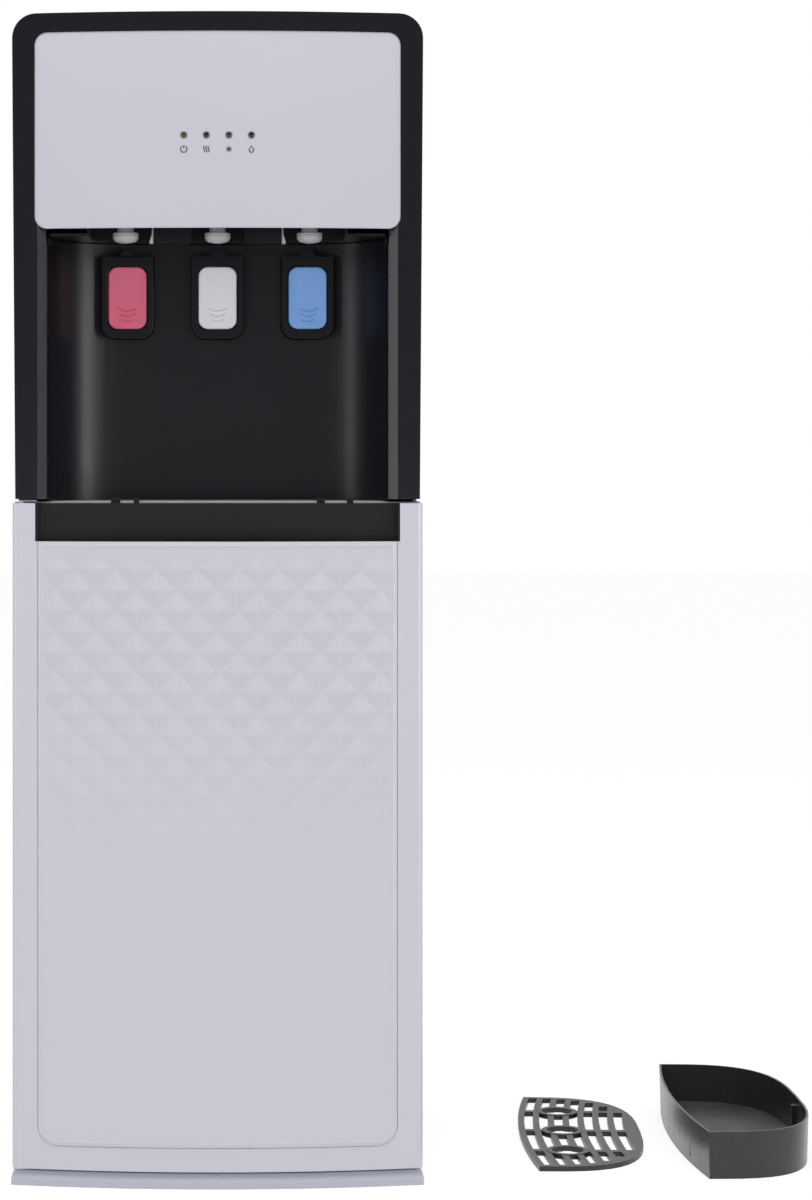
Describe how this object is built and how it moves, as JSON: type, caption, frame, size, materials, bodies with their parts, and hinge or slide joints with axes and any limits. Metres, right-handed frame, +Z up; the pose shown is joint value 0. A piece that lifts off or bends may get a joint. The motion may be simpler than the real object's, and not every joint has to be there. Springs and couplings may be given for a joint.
{
  "type": "water dispenser",
  "caption": "Free-standing bottom-loading water dispenser with a deep alcove, push paddles, a hinged bottle door and a lift-out drip tray and grille.",
  "frame": {"origin": "middle of the cabinet's base, on the floor", "axes": "+Z up, front faces -Y, +X to the viewer's right"},
  "size_m": [0.722, 0.3655, 1.027],
  "materials": {
    "white_plastic": "satin white moulding",
    "display_plastic": "satin white panel",
    "painted_sheet": "white powder coat",
    "gloss_black": "gloss black moulding",
    "satin_black": "satin black",
    "stainless": "plain steel",
    "galvanised": "zinc coated sheet",
    "black_enamel": "black enamel",
    "foam": "expanded foam",
    "smoky_clear": "smoky translucent",
    "milky_lens": "milky lens",
    "hot_red": "pink red",
    "room_white": "white",
    "cold_blue": "blue",
    "lamp_olive": "unlit lamp",
    "lamp_maroon": "unlit lamp",
    "lamp_teal": "unlit lamp",
    "circuit_board": "circuit board",
    "tray_black": "gloss black",
    "grille_grey": "satin grey",
    "silicone": "food silicone"
  },
  "bodies": {
    "cabinet": {"base_plinth": "white_plastic", "side_panel_left": "painted_sheet", "side_panel_right": "painted_sheet", "rear_panel": "galvanised", "condenser_coil": "black_enamel", "bottle_platform": "satin_black", "hinge_bottom": "stainless", "hinge_top": "stainless", "catch_magnet": "satin_black", "cabinet_deck": "white_plastic", "tray_locator": "satin_black", "head_bezel": "gloss_black", "display_panel": "display_plastic", "lamp_power": "lamp_olive", "lamp_hot": "lamp_maroon", "lamp_cold": "lamp_teal", "lamp_water": "lamp_maroon", "indicator_board": "circuit_board", "alcove_wall": "gloss_black", "tap_housing": "gloss_black", "night_light_left": "milky_lens", "night_light_right": "milky_lens", "nozzle_hot": "smoky_clear", "nozzle_room": "smoky_clear", "nozzle_cold": "smoky_clear", "tap_manifold": "satin_black", "surround_hot": "gloss_black", "surround_room": "gloss_black", "surround_cold": "gloss_black", "switch_board": "circuit_board", "head_side_left": "gloss_black", "head_side_right": "gloss_black", "top_cover": "gloss_black", "head_rear_panel": "satin_black", "tank_shelf": "galvanised", "cold_tank": "stainless", "cold_tank_jacket": "foam", "hot_tank": "stainless", "compressor": "black_enamel", "water_pump": "satin_black", "cold_pipe": "silicone", "hot_pipe": "silicone", "suction_probe": "silicone", "probe_clip": "satin_black", "suction_hose": "silicone"},
    "door": {"door_shell": "white_plastic", "door_panel": "white_plastic", "door_handle": "satin_black", "door_liner": "white_plastic", "strike_plate": "stainless"},
    "hot_lever": {"paddle_hot": "hot_red"},
    "room_lever": {"paddle_room": "room_white"},
    "cold_lever": {"paddle_cold": "cold_blue"},
    "heating_switch": {"rocker_heating": "hot_red"},
    "cooling_switch": {"rocker_cooling": "hot_red"},
    "tray": {"drip_tray": "tray_black"},
    "grille": {"drip_grille": "grille_grey"}
  },
  "joints": [
    {"name": "door_swing", "type": "hinge", "parent": "cabinet", "child": "door", "pos_m": [-0.1725, -0.1572, 0.3], "axis": [0, 0, -1], "range_deg": [0, 110]},
    {"name": "hot_press", "type": "hinge", "parent": "cabinet", "child": "hot_lever", "pos_m": [-0.0815, -0.07304, 0.8046], "axis": [1, 0, 0], "range_deg": [0, 8], "stiffness_Nm_per_rad": 0.6, "springref_deg": -2.86},
    {"name": "room_press", "type": "hinge", "parent": "cabinet", "child": "room_lever", "pos_m": [0, -0.07304, 0.8046], "axis": [1, 0, 0], "range_deg": [0, 8], "stiffness_Nm_per_rad": 0.6, "springref_deg": -2.86},
    {"name": "cold_press", "type": "hinge", "parent": "cabinet", "child": "cold_lever", "pos_m": [0.0815, -0.07304, 0.8046], "axis": [1, 0, 0], "range_deg": [0, 8], "stiffness_Nm_per_rad": 0.6, "springref_deg": -2.86},
    {"name": "heating_rock", "type": "hinge", "parent": "cabinet", "child": "heating_switch", "pos_m": [0.105, 0.1775, 0.7], "axis": [-1, 0, 0], "range_deg": [0, 26]},
    {"name": "cooling_rock", "type": "hinge", "parent": "cabinet", "child": "cooling_switch", "pos_m": [0.125, 0.1775, 0.7], "axis": [-1, 0, 0], "range_deg": [0, 26]},
    {"name": "tray_lift", "type": "slide", "parent": "cabinet", "child": "tray", "axis": [0, 0, 1], "range_m": [0, 0.1]},
    {"name": "grille_lift", "type": "slide", "parent": "cabinet", "child": "grille", "axis": [0, 0, 1], "range_m": [0, 0.08]}
  ]
}
